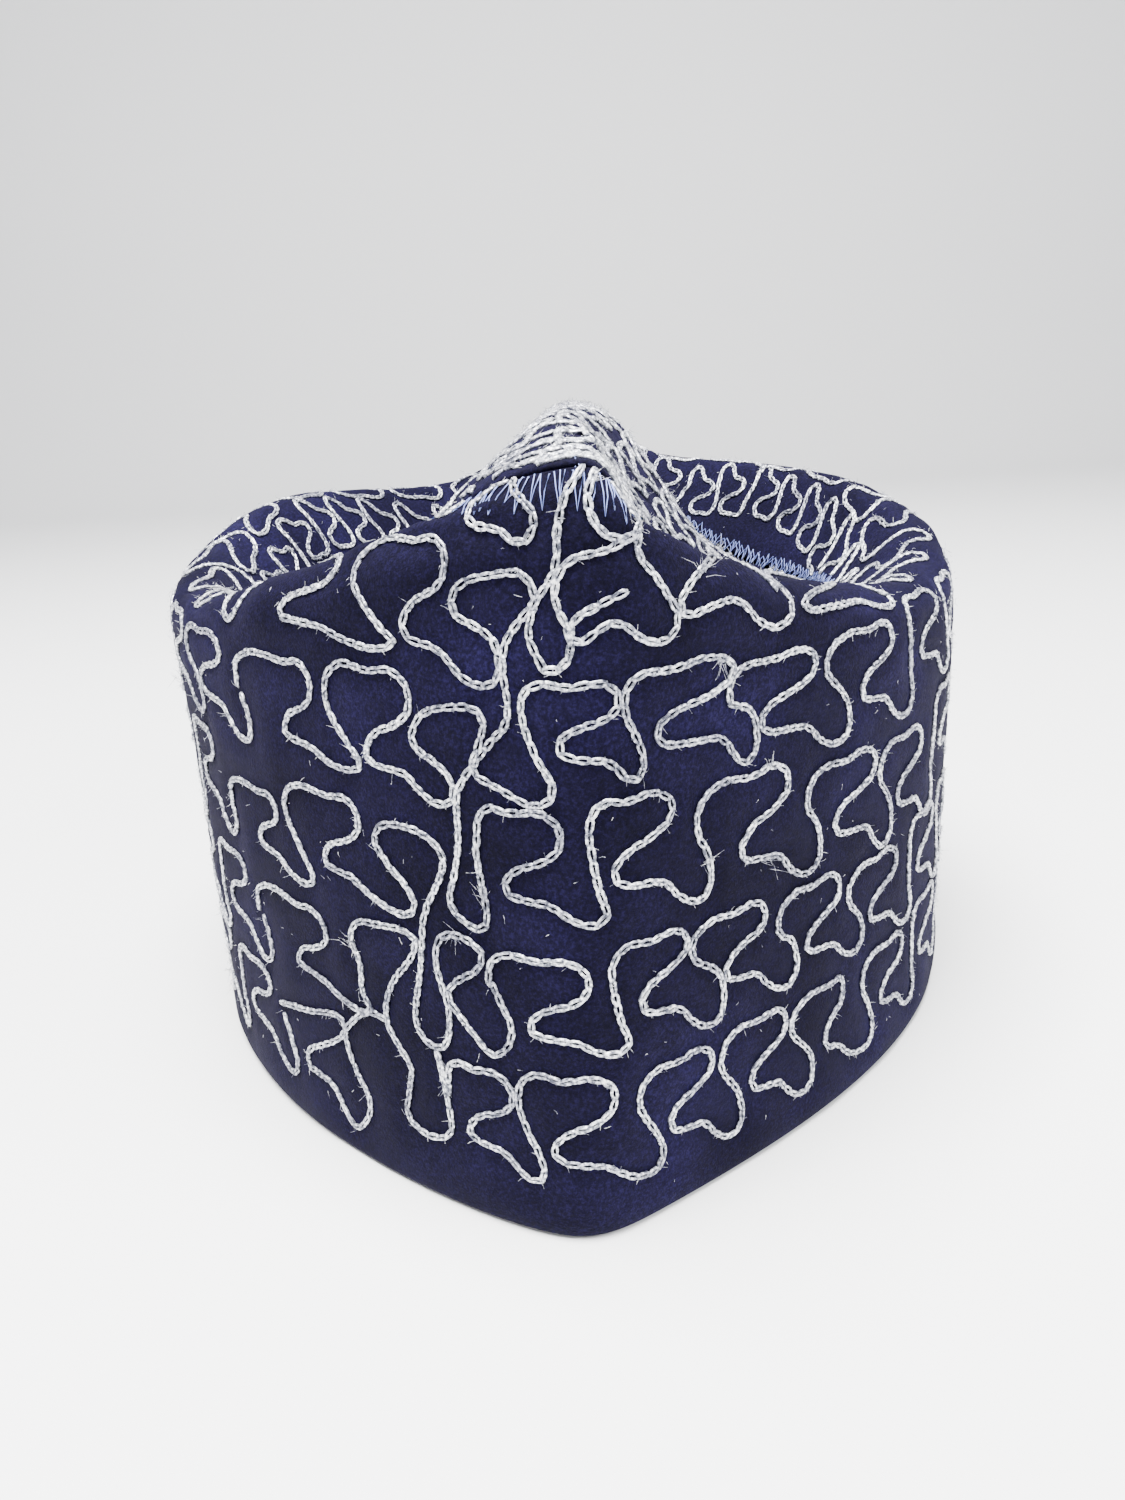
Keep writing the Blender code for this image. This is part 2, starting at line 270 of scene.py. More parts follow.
def unit(vectors):
    """Each row of an array, scaled to length 1."""
    vectors = np.asarray(vectors, float)
    return vectors / np.maximum(np.linalg.norm(vectors, axis=-1, keepdims=True), 1e-12)


def tree_of(*names):
    """A ray-casting tree over the surfaces of CAD nodes."""
    points, faces = [], []
    for name in names:
        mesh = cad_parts[name].data
        first = len(points)
        points.extend(v.co.copy() for v in mesh.vertices)
        faces.extend([first + i for i in p.vertices] for p in mesh.polygons)
    return BVHTree.FromPolygons(points, faces)


def lean(y, z, half_length, height):
    """How far the cloth leans to the right at a place."""
    ends = min(abs(y) / half_length, 1.0)
    return PEAK_LEAN * ends ** 2 * (max(z, 0.0) / height) ** LEAN_POWER


def hem_outline(tree):
    """Points round the hem, MAP_STEP apart, from the front crease round by the right."""
    points = []
    for i in range(HEM_RAYS):
        angle = 2 * math.pi * i / HEM_RAYS
        out = Vector((math.sin(angle), -math.cos(angle), 0.0))
        start = out * REACH + Vector((0, 0, HEM_LEVEL))
        hit = tree.ray_cast(start, -out)[0]
        points.append((hit.x, hit.y))
    points = np.array(points)
    front = np.argmin(points[:, 1])
    points = np.roll(points, -front, axis=0)
    closed = np.vstack([points, points[:1]])
    lengths = np.concatenate([[0], np.cumsum(np.linalg.norm(np.diff(closed, axis=0), axis=1))])
    count = int(round(lengths[-1] / MAP_STEP))
    places = np.linspace(0, lengths[-1], count, endpoint=False)
    x = np.interp(places, lengths, closed[:, 0])
    y = np.interp(places, lengths, closed[:, 1])
    return np.column_stack([x, y]), lengths[-1]


def band_profile(tree, foot, inward, half_length, height):
    """The band's outer surface above one point of the hem, from the hem to the seam."""
    points = []
    z = RAY_STEP
    while True:
        shift = lean(foot[1], z, half_length, height)
        start = Vector((foot[0] + shift - inward[0] * REACH, foot[1] - inward[1] * REACH, z))
        hit, normal, _, away = tree.ray_cast(start, Vector((inward[0], inward[1], 0)), REACH + 0.012)
        if hit is None or abs(normal.z) > TURN_LEVEL:
            break
        points.append(hit)
        z += MAP_STEP
    last = points[-1]
    inset = (last.x - foot[0] - lean(foot[1], last.z, half_length, height)) * inward[0]
    inset += (last.y - foot[1]) * inward[1]
    while True:
        inset += RAY_STEP
        last = points[-1]
        shift = lean(foot[1] + inward[1] * inset, last.z, half_length, height)
        x = foot[0] + inward[0] * inset + shift
        y = foot[1] + inward[1] * inset
        hit, normal, _, _ = tree.ray_cast(Vector((x, y, REACH)), Vector((0, 0, -1)))
        if hit is None or normal.z < 0.05 or abs(hit.z - last.z) > 0.006:
            break
        points.append(hit)
    return np.array([tuple(p) for p in points])


def evenly(points, step=MAP_STEP):
    """A path's points, a step apart, and its length."""
    lengths = np.concatenate([[0], np.cumsum(np.linalg.norm(np.diff(points, axis=0), axis=1))])
    places = np.arange(0, lengths[-1] + step, step)
    return np.column_stack([np.interp(places, lengths, points[:, k]) for k in range(3)]), lengths[-1]


class ClothMap:
    """A grid of points on cloth: columns MAP_STEP apart along it, with a point every MAP_STEP
    up each column, counted from the column's own zero."""

    def __init__(self, columns, zeros, first, closed):
        above = [evenly(column[zero:]) for column, zero in zip(columns, zeros)]
        below = [evenly(column[zero::-1]) for column, zero in zip(columns, zeros)]
        self.ends = np.array([length for _, length in above])
        self.starts = -np.array([length for _, length in below])
        self.zero_row = max(len(points) for points, _ in below)
        rows = self.zero_row + max(len(points) for points, _ in above)
        self.grid = np.zeros((len(columns), rows, 3))
        for i, ((up, _), (down, _)) in enumerate(zip(above, below)):
            self.grid[i, self.zero_row:self.zero_row + len(up)] = up
            self.grid[i, self.zero_row + len(up):] = up[-1]
            self.grid[i, self.zero_row + 1 - len(down):self.zero_row + 1] = down[::-1]
            self.grid[i, :self.zero_row + 1 - len(down)] = down[-1]
        self.first = first
        self.closed = closed

    def neighbours(self, along):
        """The two columns beside each distance along, and the share of the second."""
        place = (np.asarray(along, float) - self.first) / MAP_STEP
        count = len(self.grid)
        place = place % count if self.closed else np.clip(place, 0, count - 1.001)
        low = np.floor(place).astype(int)
        return low % count, (low + 1) % count, place - low

    def limits(self, along):
        """How far down and up the cloth goes there."""
        low, high, share = self.neighbours(along)
        start = self.starts[low] * (1 - share) + self.starts[high] * share
        end = self.ends[low] * (1 - share) + self.ends[high] * share
        return start, end

    def points(self, along, up):
        """Points on the cloth."""
        low, high, share = self.neighbours(along)
        share = share[:, None]
        row = np.asarray(up, float) / MAP_STEP + self.zero_row
        row = np.clip(row, 0, self.grid.shape[1] - 1.001)
        base = np.floor(row).astype(int)
        above = (row - base)[:, None]
        near = self.grid[low, base] * (1 - above) + self.grid[low, base + 1] * above
        far = self.grid[high, base] * (1 - above) + self.grid[high, base + 1] * above
        return near * (1 - share) + far * share

    def normals(self, along, up, step=0.002):
        """Directions out of the cloth, smoothed over a step each way."""
        along = np.asarray(along, float)
        start, end = self.limits(along)
        up = np.clip(up, start + step, np.maximum(end - step, start + step))
        side = self.points(along + step, up) - self.points(along - step, up)
        rise = self.points(along, up + step) - self.points(along, up - step)
        return unit(np.cross(side, rise))

    def area(self):
        """The area of the cloth."""
        grid = np.vstack([self.grid, self.grid[:1]]) if self.closed else self.grid
        side = grid[1:, :-1] - grid[:-1, :-1]
        rise = grid[:-1, 1:] - grid[:-1, :-1]
        return float(np.linalg.norm(np.cross(side, rise), axis=2).sum())


def band_map():
    """The band's map and the length of its hem."""
    tree = tree_of("band")
    low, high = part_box("band")
    half_length = (high.y - low.y) / 2
    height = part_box("crown")[1].z
    hem, length = hem_outline(tree)
    span = 4
    tangent = np.roll(hem, -span, axis=0) - np.roll(hem, span, axis=0)
    inward = unit(np.column_stack([-tangent[:, 1], tangent[:, 0]]))
    columns = [band_profile(tree, foot, n, half_length, height) for foot, n in zip(hem, inward)]
    return ClothMap(columns, [0] * len(columns), 0.0, True), length


def crown_map():
    """The crown's map: along from front to back, and up from the ridge to the left."""
    tree = tree_of("crown")
    low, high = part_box("crown")
    columns = []
    ridge = []
    first = None
    for y in np.arange(low.y + CROWN_MARGIN, high.y - CROWN_MARGIN, MAP_STEP):
        hits = []
        for x in np.arange(high.x, low.x, -RAY_STEP):
            hit, normal, _, _ = tree.ray_cast(Vector((x, y, REACH)), Vector((0, 0, -1)))
            if hit is not None and normal.z > 0.02:
                hits.append(tuple(hit))
        hits = np.array(hits)
        first = y if first is None else first
        columns.append(hits)
        ridge.append(hits[np.argmax(hits[:, 2]), 0])
    spread = np.ones(RIDGE_SMOOTHING) / RIDGE_SMOOTHING
    padded = np.pad(ridge, RIDGE_SMOOTHING // 2, mode="edge")
    ridge = np.convolve(padded, spread, mode="valid")
    zeros = []
    for hits, x in zip(columns, ridge):
        zero = int(np.argmin(np.abs(hits[:, 0] - x)))
        zeros.append(min(max(zero, 1), len(hits) - 2))
    return ClothMap(columns, zeros, first, False)


def smooth_path(points):
    """A path through chart points, about half a millimetre apart, on a smooth curve."""
    points = np.array(points, float)
    padded = np.vstack([2 * points[0] - points[1], points, 2 * points[-1] - points[-2]])
    made = []
    for p0, p1, p2, p3 in zip(padded, padded[1:], padded[2:], padded[3:]):
        steps = max(2, int(np.linalg.norm(p2 - p1) / 0.5))
        for u in np.arange(steps) / steps:
            made.append(
                0.5 * (
                    2 * p1
                    + (p2 - p0) * u
                    + (2 * p0 - 5 * p1 + 4 * p2 - p3) * u ** 2
                    + (3 * p1 - p0 - 3 * p2 + p3) * u ** 3
                )
            )
    made.append(points[-1])
    return np.array(made)


def placed_motif(shoulder, pocket, tip, toe, top, pocket_up, toe_up):
    """The motif's points where its shoulder, pocket, tip, toe and top are to stand."""
    across, up = np.array(MOTIF).T
    far = (2.0, 2 * toe - shoulder)
    along = np.interp(across, MOTIF_ACROSS + far[:1], (shoulder, pocket, tip, toe) + far[1:])
    height = np.interp(up, MOTIF_UP, (toe_up, pocket_up, top))
    return list(zip(along, height))


def plain_motif(left, top, width, drop):
    """The motif at its plain proportions."""
    places = [left + share * width for share in MOTIF_ACROSS]
    heights = [top - drop * (1 - share) for share in reversed(MOTIF_UP)]
    return placed_motif(*places, *heights)


def front_runs():
    """Each row of motifs and each free run at the front, by name."""
    runs = {name: list(path) for name, path in FREE_RUNS.items()}
    for row, *places in FRONT_MOTIFS:
        runs.setdefault(row, []).extend(placed_motif(*places))
    return {name: [(along, up - CHART_DROP) for along, up in path] for name, path in runs.items()}


def jittered_row(start, end, top, width, drop, rng):
    """A row of motifs from start to end, none quite like the next."""
    count = max(1, round((end - start) / (width * MOTIF_PITCH)))
    pitch = (end - start) / count
    row = []
    for i in range(count):
        row += plain_motif(
            start + i * pitch + rng.uniform(-1.2, 1.2),
            top + rng.uniform(-1.5, 1.5),
            width * rng.uniform(0.90, 1.08),
            drop * rng.uniform(0.92, 1.05),
        )
    return row


def band_runs(length, rng):
    """Every run of thread on the band, as chart paths."""
    front = front_runs()
    runs = [sum((front[name] for name in names), []) for names in SEWN_TOGETHER]
    ends = {**front, **TOP_ROW_ENDS}
    for after, before, top, width, drop in ROUND_ROWS:
        start_point = ends[after][-1]
        end_point = (ends[before][0][0] + length / MM, ends[before][0][1])
        row = jittered_row(start_point[0], end_point[0], top, width, drop, rng)
        runs.append([start_point] + row + [end_point])
    return runs


def crown_runs(cloth, rng):
    """Rows of motifs all over the crown, as chart paths."""
    start = cloth.first / MM
    end = start + len(cloth.grid)
    runs = [jittered_row(start, end, top, width, drop, rng) for top, width, drop in CROWN_ROWS]
    for behind, reach in CROWN_ARCHES:
        across = np.linspace(-reach, reach, 9)
        wander = rng.normal(0, 0.35, len(across))
        runs.append(list(zip(start + behind + ARCH_BEND * across ** 2 + wander, across)))
    return runs


def lay_path(cloth, path):
    """A chart path laid on the cloth, cut at its edges: points and directions out of it."""
    along, up = smooth_path(path).T * MM
    start, end = cloth.limits(along)
    inside = (up > start + EDGE_MARGIN) & (up < end - EDGE_MARGIN)
    if not cloth.closed:
        place = (along - cloth.first) / MAP_STEP
        inside &= (place > 1) & (place < len(cloth.grid) - 2)
    changes = np.flatnonzero(np.diff(inside.astype(int))) + 1
    pieces = []
    for part in np.split(np.arange(len(along)), changes):
        if inside[part[0]] and len(part) > SHORTEST_RUN:
            pieces.append((cloth.points(along[part], up[part]), cloth.normals(along[part], up[part])))
    return pieces


def pressed(points, tree):
    """Points moved to the nearest places on a surface."""
    return np.array([tuple(tree.find_nearest(Vector(p))[0]) for p in points])


def fine_cloth(name, paths, seam):
    """A node's cloth in fine faces, pressed under the stitches and puffed between them."""
    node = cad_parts[name]
    bm = bmesh.new()
    bm.from_mesh(node.data)
    bmesh.ops.remove_doubles(bm, verts=bm.verts, dist=1e-6)
    bmesh.ops.join_triangles(
        bm, faces=bm.faces[:], angle_face_threshold=math.pi / 3, angle_shape_threshold=math.pi / 3
    )
    bmesh.ops.recalc_face_normals(bm, faces=bm.faces[:])
    mesh = bpy.data.meshes.new(name + "_cloth")
    bm.to_mesh(mesh)
    bm.free()
    obj = bpy.data.objects.new(name + "_cloth", mesh)
    bpy.context.scene.collection.objects.link(obj)
    smooth = obj.modifiers.new("Smooth", "SUBSURF")
    smooth.levels = CLOTH_LEVEL
    smooth.render_levels = CLOTH_LEVEL
    depsgraph = bpy.context.evaluated_depsgraph_get()
    fine = bpy.data.meshes.new_from_object(obj.evaluated_get(depsgraph))
    obj.modifiers.clear()
    obj.data = fine
    fine.name = name + "_cloth"
    fine.shade_smooth()
    shape_cloth(fine, paths, seam)
    return obj


def tree_through(points):
    """A tree that finds the nearest of some points."""
    tree = KDTree(len(points))
    for i, point in enumerate(points):
        tree.insert(Vector(point), i)
    tree.balance()
    return tree


def shape_cloth(mesh, paths, seam):
    """Press, puff and ripple a cloth mesh, but for its hem; near the seam it is taut."""
    stitches = tree_through(np.vstack([points for points, _ in paths]))
    seam_tree = tree_through(seam)
    before = [(vert.co.copy(), vert.normal.copy()) for vert in mesh.vertices]
    after = []
    for place, normal in before:
        away = stitches.find(place)[2]
        ripple = noise.noise(place / RIPPLE_LENGTH) * RIPPLE_HEIGHT
        puff = PUFF_HEIGHT * min(away / PUFF_WIDTH, 1.0) ** 2
        press = PRESS_DEPTH * math.exp(-(away / PRESS_WIDTH) ** 2)
        from_seam = min(seam_tree.find(place)[2] / SEAM_FADE, 1.0)
        above_hem = min(max(place.z / HEM_FADE, 0.0), 1.0)
        after.append(place + normal * ((ripple + puff - press) * from_seam * above_hem))
    mesh.vertices.foreach_set("co", np.array(after, np.float32).ravel())
    mesh.update()


def links_along(points, normals, rng):
    """Where the links of one run of thread stand: starts, ends and directions out."""
    lengths = np.concatenate([[0], np.cumsum(np.linalg.norm(np.diff(points, axis=0), axis=1))])
    places = [0.0]
    while places[-1] < lengths[-1]:
        places.append(places[-1] + LINK_LENGTH * rng.uniform(0.88, 1.10))
    places = np.array(places[:-1])
    if len(places) < 2:
        return None
    at = np.column_stack([np.interp(places, lengths, points[:, k]) for k in range(3)])
    out = unit(np.column_stack([np.interp(places, lengths, normals[:, k]) for k in range(3)]))
    return at[:-1], at[1:], unit(out[:-1] + out[1:])


def link_mesh(starts, ends, outs, rng):
    """Chain links as one mesh: each a teardrop loop of round strand over the last one's head."""
    count = len(starts)
    forward = ends - starts
    length = np.linalg.norm(forward, axis=1)
    forward = unit(forward)
    outs = unit(outs - forward * np.sum(outs * forward, axis=1, keepdims=True))
    sideways = np.cross(outs, forward)
    angle = 2 * np.pi * np.arange(LINK_POINTS) / LINK_POINTS
    width = LINK_WIDTH * rng.uniform(0.85, 1.15, count)
    skew = rng.normal(0, 0.10, count)
    radius = STRAND_RADIUS * rng.uniform(0.9, 1.1, count)
    x = 0.5 - 0.62 * np.cos(angle)
    y = np.sin(angle) * np.abs(np.sin(angle / 2)) ** 0.5
    lift = 0.85 + 0.95 * np.exp(-((x - 0.16) / 0.20) ** 2) - 0.9 * np.exp(-((x + 0.12) / 0.10) ** 2)
    path = (
        starts[:, None]
        + forward[:, None] * (x[None, :, None] * length[:, None, None])
        + sideways[:, None] * ((y[None] + skew[:, None] * x[None]) * width[:, None])[..., None]
        + outs[:, None] * (lift[None] * radius[:, None])[..., None]
    )
    tangent = unit(np.roll(path, -1, axis=1) - np.roll(path, 1, axis=1))
    out = outs[:, None] - tangent * np.sum(outs[:, None] * tangent, axis=2, keepdims=True)
    out = unit(out)
    side = np.cross(tangent, out)
    turn = 2 * np.pi * np.arange(STRAND_SIDES) / STRAND_SIDES
    ring = (
        out[:, :, None] * np.cos(turn)[None, None, :, None]
        + side[:, :, None] * np.sin(turn)[None, None, :, None]
    )
    verts = path[:, :, None] + ring * radius[:, None, None, None]
    base = np.arange(count)[:, None, None] * LINK_POINTS * STRAND_SIDES
    i = np.arange(LINK_POINTS)[None, :, None]
    j = np.arange(STRAND_SIDES)[None, None, :]
    next_i = (i + 1) % LINK_POINTS
    next_j = (j + 1) % STRAND_SIDES
    quads = np.stack(
        [
            base + i * STRAND_SIDES + j,
            base + i * STRAND_SIDES + next_j,
            base + next_i * STRAND_SIDES + next_j,
            base + next_i * STRAND_SIDES + j,
        ],
        axis=-1,
    )
    return verts.reshape(-1, 3), quads.reshape(-1, 4)


def mesh_object(name, verts, quads):
    """A smooth-shaded mesh object from arrays of points and four-sided faces."""
    mesh = bpy.data.meshes.new(name)
    mesh.vertices.add(len(verts))
    mesh.vertices.foreach_set("co", np.asarray(verts, np.float32).ravel())
    mesh.loops.add(len(quads) * 4)
    mesh.loops.foreach_set("vertex_index", np.asarray(quads, np.int32).ravel())
    mesh.polygons.add(len(quads))
    mesh.polygons.foreach_set("loop_start", np.arange(len(quads), dtype=np.int32) * 4)
    mesh.update(calc_edges=True)
    mesh.shade_smooth()
    obj = bpy.data.objects.new(name, mesh)
    bpy.context.scene.collection.objects.link(obj)
    return obj


def tube_mesh(path, radius, sides):
    """An open tube round a path, as points and four-sided faces."""
    tangent = unit(np.gradient(path, axis=0))
    side = unit(np.cross(tangent, np.array([0.3, 0.5, 0.81])))
    out = np.cross(side, tangent)
    turn = 2 * np.pi * np.arange(sides) / sides
    ring = out[:, None] * np.cos(turn)[None, :, None] + side[:, None] * np.sin(turn)[None, :, None]
    verts = (path[:, None] + ring * radius).reshape(-1, 3)
    i = np.arange(len(path) - 1)[:, None] * sides
    j = np.arange(sides)[None, :]
    k = (j + 1) % sides
    quads = np.stack([i + j, i + k, i + sides + k, i + sides + j], axis=-1)
    return verts, quads.reshape(-1, 4)


def join_arrays(parts):
    """Several meshes' arrays as one."""
    verts, quads, first = [], [], 0
    for v, q in parts:
        verts.append(v)
        quads.append(q + first)
        first += len(v)
    return np.vstack(verts), np.vstack(quads)


def principled(name):
    """A new material, its node tree and its shader."""
    material = bpy.data.materials.new(name)
    material.use_nodes = True
    tree = material.node_tree
    return material, tree, tree.nodes["Principled BSDF"]


def add_noise(tree, scale, detail=3.0, roughness=0.55):
    """A noise texture over the object's own space."""
    place = tree.nodes.new("ShaderNodeTexCoord")
    made = tree.nodes.new("ShaderNodeTexNoise")
    made.inputs["Scale"].default_value = scale
    made.inputs["Detail"].default_value = detail
    made.inputs["Roughness"].default_value = roughness
    tree.links.new(place.outputs["Object"], made.inputs["Vector"])
    return made


def add_ramp(tree, source, stops):
    """A colour ramp from a node's value."""
    ramp = tree.nodes.new("ShaderNodeValToRGB")
    ramp.color_ramp.elements[0].position = stops[0][0]
    ramp.color_ramp.elements[0].color = stops[0][1]
    ramp.color_ramp.elements[1].position = stops[-1][0]
    ramp.color_ramp.elements[1].color = stops[-1][1]
    for position, colour in stops[1:-1]:
        ramp.color_ramp.elements.new(position).color = colour
    tree.links.new(source, ramp.inputs["Fac"])
    return ramp


def multiplied(tree, first, second):
    """The product of two colours."""
    mix = tree.nodes.new("ShaderNodeMix")
    mix.data_type = "RGBA"
    mix.blend_type = "MULTIPLY"
    mix.inputs[0].default_value = 1.0
    tree.links.new(first, mix.inputs[6])
    tree.links.new(second, mix.inputs[7])
    return mix.outputs[2]


def velvet_material(name):
    """Deep navy velvet: brushed patches, painted pile glints and shade in fine specks of the base colour,
    and a faint blue-violet sheen.
    """
    material, tree, shader = principled(name)
    brushed = add_noise(tree, 38.0, 4.0)
    colour = add_ramp(
        tree,
        brushed.outputs["Fac"],
        (
            (0.30, (0.0033, 0.0026, 0.0125, 1)),
            (0.52, (0.0060, 0.0046, 0.0220, 1)),
            (0.74, (0.0112, 0.0086, 0.0410, 1)),
        ),
    )
    # Painted pile glints and shade: fine specks that lighten and darken the base colour, standing in for
    # glints in the pile
    pile_glints = add_ramp(
        tree,
        add_noise(tree, 1700.0, 2.0, 0.7).outputs["Fac"],
        ((0.36, (0.28, 0.28, 0.28, 1)), (0.52, (0.50, 0.50, 0.50, 1)), (0.66, (1.0, 1.0, 1.0, 1))),
    )
    product = multiplied(tree, colour.outputs["Color"], pile_glints.outputs["Color"])
    tree.links.new(product, shader.inputs["Base Color"])
    shader.inputs["Roughness"].default_value = 0.85
    shader.inputs["Specular IOR Level"].default_value = 0.05
    shader.inputs["Sheen Weight"].default_value = 0.016
    shader.inputs["Sheen Roughness"].default_value = 0.35
    shader.inputs["Sheen Tint"].default_value = (0.34, 0.26, 0.80, 1)
    pile = add_noise(tree, 2600.0, 2.0, 0.7)
    nap = add_noise(tree, 420.0, 3.0)
    mixed = tree.nodes.new("ShaderNodeMath")
    mixed.operation = "ADD"
    tree.links.new(pile.outputs["Fac"], mixed.inputs[0])
    tree.links.new(nap.outputs["Fac"], mixed.inputs[1])
    bump = tree.nodes.new("ShaderNodeBump")
    bump.inputs["Strength"].default_value = 0.55
    bump.inputs["Distance"].default_value = 0.0004
    tree.links.new(mixed.outputs[0], bump.inputs["Height"])
    tree.links.new(bump.outputs["Normal"], shader.inputs["Normal"])
    return material


def silver_material():
    """Silver-white metallic thread with painted glints and shade in fine specks, and painted shade that
    dulls some lengths.
    """
    material, tree, shader = principled("silver_thread")
    # Painted glints and shade: fine specks in the base colour, from near black to white
    glint_and_shade = add_noise(tree, 1500.0, 2.0)
    colour = add_ramp(
        tree,
        glint_and_shade.outputs["Fac"],
        ((0.36, (0.07, 0.075, 0.10, 1)), (0.50, (0.42, 0.43, 0.48, 1)), (0.62, (1.0, 1.0, 1.0, 1))),
    )
    # Painted shade: a slow noise darkens some lengths, standing in for runs that look dull under the light
    painted_dull_shade = add_ramp(
        tree,
        add_noise(tree, 90.0, 2.0).outputs["Fac"],
        ((0.38, (0.55, 0.55, 0.60, 1)), (0.56, (1.0, 1.0, 1.0, 1))),
    )
    product = multiplied(tree, colour.outputs["Color"], painted_dull_shade.outputs["Color"])
    tree.links.new(product, shader.inputs["Base Color"])
    shader.inputs["Metallic"].default_value = 0.5
    shader.inputs["Roughness"].default_value = 0.30
    twist = add_noise(tree, 3200.0, 1.0)
    bump = tree.nodes.new("ShaderNodeBump")
    bump.inputs["Strength"].default_value = 0.7
    bump.inputs["Distance"].default_value = 0.0002
    tree.links.new(twist.outputs["Fac"], bump.inputs["Height"])
    tree.links.new(bump.outputs["Normal"], shader.inputs["Normal"])
    return material


def blue_thread_material():
    """Fine pale blue sewing thread."""
    material, tree, shader = principled("blue_thread")
    worn = add_noise(tree, 700.0, 2.0)
    colour = add_ramp(
        tree,
        worn.outputs["Fac"],
        ((0.35, (0.09, 0.12, 0.34, 1)), (0.65, (0.22, 0.27, 0.56, 1))),
    )
    tree.links.new(colour.outputs["Color"], shader.inputs["Base Color"])
    shader.inputs["Roughness"].default_value = 0.6
    return material


def finish_piece(obj, material):
    """Give a piece its material and slot, and let it ride on the cap."""
    obj.data.materials.clear()
    obj.data.materials.append(material)
    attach(obj, "root")


def all_links(paths, tree, rng):
    """The links of several runs of thread, laid on a cloth's surface."""
    found = [links_along(pressed(points, tree), normals, rng) for points, normals in paths]
    return [np.vstack(part) for part in zip(*(f for f in found if f is not None))]


def make_stitches(name, links, material, rng):
    """Chain stitch as one piece."""
    verts, quads = link_mesh(*links, rng)
    finish_piece(mesh_object(name, verts, quads), material)


def make_band_stitches(links, material, rng):
    """The band's chain stitch, one piece for each sector of the band."""
    starts = links[0]
    angle = np.arctan2(starts[:, 0], -starts[:, 1]) / (2 * np.pi)
    sector = np.round(angle * len(SECTORS)).astype(int) % len(SECTORS)
    for i, name in enumerate(SECTORS):
        part = [array[sector == i] for array in links]
        make_stitches("band_stitches_" + name, part, material, rng)


def make_crown_stitches(links, material, rng):
    """The crown's chain stitch, as its front half and its back half."""
    front = links[0][:, 1] < 0
    make_stitches("crown_stitches_front", [array[front] for array in links], material, rng)
    make_stitches("crown_stitches_back", [array[~front] for array in links], material, rng)


def fibre_mesh(starts, headings, bends, lengths):
    """Fine curved fibres as one mesh, each tapering to its end."""
    u = np.linspace(0, 1, 3)[None, :, None]
    path = starts[:, None] + (headings[:, None] * u + bends[:, None] * u ** 2) * lengths[:, None, None]
    tangent = unit(np.gradient(path, axis=1))
    side = unit(np.cross(tangent, np.array([0.31, 0.52, 0.80])))
    out = np.cross(side, tangent)
    turn = 2 * np.pi * np.arange(FIBRE_SIDES) / FIBRE_SIDES
    ring = (
        out[:, :, None] * np.cos(turn)[None, None, :, None]
        + side[:, :, None] * np.sin(turn)[None, None, :, None]
    )
    taper = np.array([1.0, 0.8, 0.35])[None, :, None, None]
    verts = (path[:, :, None] + ring * FIBRE_RADIUS * taper).reshape(-1, 3)
    base = np.arange(len(starts))[:, None, None] * 3 * FIBRE_SIDES
    i = np.arange(2)[None, :, None] * FIBRE_SIDES
    j = np.arange(FIBRE_SIDES)[None, None, :]
    k = (j + 1) % FIBRE_SIDES
    corners = [base + i + j, base + i + k, base + i + FIBRE_SIDES + k, base + i + FIBRE_SIDES + j]
    return verts, np.stack(corners, axis=-1).reshape(-1, 4)


def scattered(points, normals, lengths, stand, rng, combed=0.0):
    """Fibres that start at points and head any way, or mostly the combed way; stand says how
    far they rise."""
    count = len(points)
    spread = rng.normal(0, 1, (count, 3)) + combed
    spread -= normals * np.sum(spread * normals, axis=1, keepdims=True)
    headings = unit(unit(spread) + normals * rng.uniform(*stand, (count, 1)))
    bends = rng.normal(0, 0.28, (count, 3))
    return fibre_mesh(points, headings, bends, rng.uniform(*lengths, count))


def make_fibres(paths, lint_map, material, rng):
    """Fuzz along the thread, tufts where it has frayed, and lint on the pile."""
    points = np.vstack([points for points, _ in paths])
    normals = np.vstack([normals for _, normals in paths])
    fuzzy = rng.random(len(points)) < FUZZ_SHARE
    fuzz_starts = points[fuzzy] + normals[fuzzy] * STRAND_RADIUS * 0.6
    fuzz = scattered(fuzz_starts, normals[fuzzy], FUZZ_LENGTH, (0.0, 0.9), rng)
    frayed = np.repeat(rng.integers(0, len(points), TUFT_COUNT), TUFT_FIBRES)
    tuft_starts = points[frayed] + rng.normal(0, TUFT_SPREAD, (len(frayed), 3))
    combed = np.repeat(rng.normal(0, 1.3, (TUFT_COUNT, 3)), TUFT_FIBRES, axis=0)
    tufts = scattered(tuft_starts, normals[frayed], TUFT_LENGTH, (0.1, 0.8), rng, combed)
    along = rng.uniform(0, len(lint_map.grid) * MAP_STEP, LINT_COUNT)
    start, end = lint_map.limits(along)
    up = rng.uniform(start + 0.004, end - 0.004)
    lint_normals = lint_map.normals(along, up)
    lint_starts = lint_map.points(along, up) + lint_normals * 0.0003
    lint = scattered(lint_starts, lint_normals, LINT_LENGTH, (0.0, 0.3), rng)
    for name, (verts, quads) in (("fuzz", fuzz), ("frayed_tufts", tufts), ("lint", lint)):
        finish_piece(mesh_object(name, verts, quads), material)


